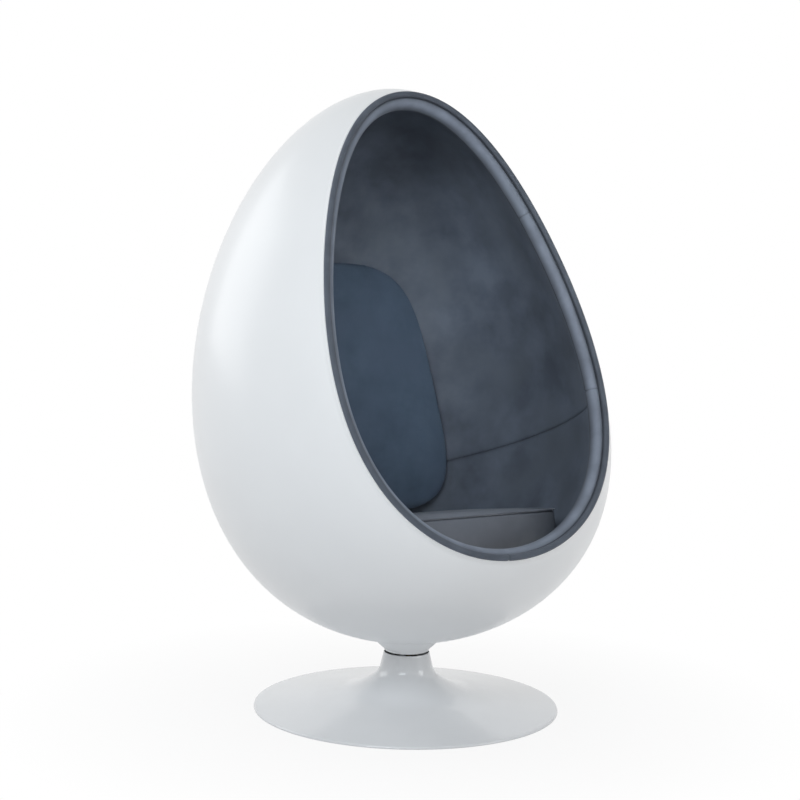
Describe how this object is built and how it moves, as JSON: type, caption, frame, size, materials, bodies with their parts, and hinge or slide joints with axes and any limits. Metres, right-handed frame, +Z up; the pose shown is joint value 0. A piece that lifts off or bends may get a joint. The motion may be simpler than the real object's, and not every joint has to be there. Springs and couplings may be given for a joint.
{
  "type": "pod chair",
  "caption": "Egg-shaped lounge chair with an upholstered hollow, loose seat and back cushions and a swivelling round trumpet base.",
  "frame": {"origin": "on the floor, on the swivel's axis, at the middle of the base's underside", "axes": "+Z is up along the swivel's axis, -Y is forwards, out of the pod's mouth, and +X is to the left of a person sitting in the chair"},
  "size_m": [0.863, 0.8666, 1.2814],
  "materials": {
    "shell_gelcoat": "gloss",
    "base_enamel": "gloss",
    "pad_rubber": "matte",
    "ballast_iron": "matte",
    "tube_steel": "satin",
    "bush_nylon": "matte",
    "bearing_steel": "polished",
    "cage_brass": "satin",
    "spindle_steel": "satin",
    "clip_steel": "satin",
    "fastener_zinc": "satin",
    "board_plywood": "matte",
    "filler_foam": "matte",
    "cover_suede": "matte",
    "cushion_suede": "matte"
  },
  "bodies": {
    "base": {"base_dish": "base_enamel", "floor_pad": "pad_rubber", "ballast_plate": "ballast_iron", "bearing_tube": "tube_steel", "bearing_carrier": "tube_steel", "upper_bush": "bush_nylon", "lower_bush": "bush_nylon", "thrust_race_lower": "bearing_steel", "thrust_cage": "cage_brass", "thrust_balls": "bearing_steel"},
    "pod": {"thrust_race_upper": "bearing_steel", "spindle": "spindle_steel", "retaining_washer": "fastener_zinc", "retaining_clip": "clip_steel", "swivel_plate": "tube_steel", "swivel_collar": "shell_gelcoat", "mounting_bolts": "fastener_zinc", "bolt_washers": "fastener_zinc", "bolt_nuts": "fastener_zinc", "mounting_pad": "board_plywood", "outer_shell": "shell_gelcoat", "rim_tack_strip": "board_plywood", "rim_welt": "cover_suede", "rim_bolster": "cover_suede", "upper_lining": "cover_suede", "lower_lining": "cover_suede", "seat_filler": "filler_foam", "seat_deck": "board_plywood", "seat_cushion": "cushion_suede", "back_cushion": "cushion_suede"}
  },
  "joints": [
    {"name": "pod_swivel", "type": "hinge", "parent": "base", "child": "pod", "pos_m": [0, 0, 0.1165], "axis": [0, 0, 1], "continuous": true}
  ]
}
